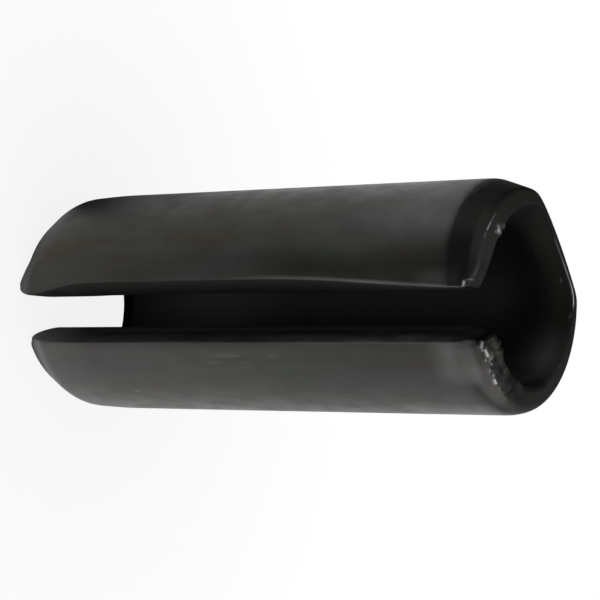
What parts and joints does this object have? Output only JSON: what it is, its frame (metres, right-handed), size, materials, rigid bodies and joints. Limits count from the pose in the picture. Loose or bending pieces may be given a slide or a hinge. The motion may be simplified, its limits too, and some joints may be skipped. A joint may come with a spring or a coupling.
{
  "type": "slotted spring pin",
  "caption": "Thick-walled slotted spring sleeve that serves as a guide or locating pin, open along one side, with tapered ends, one worn and cropped out of square.",
  "frame": {"origin": "centre of the lower end, on the sleeve's axis", "axes": "+Z along the sleeve's axis, from the neat lower end to the worn upper end; the slot faces -Y"},
  "size_m": [0.0126, 0.0125, 0.0304],
  "materials": {
    "black_steel": "phosphated and oiled spring steel, near black, semi-matte, with bare bright specks on its worn edges"
  },
  "bodies": {
    "root": {"slotted_spring_pin": "black_steel"}
  },
  "joints": []
}
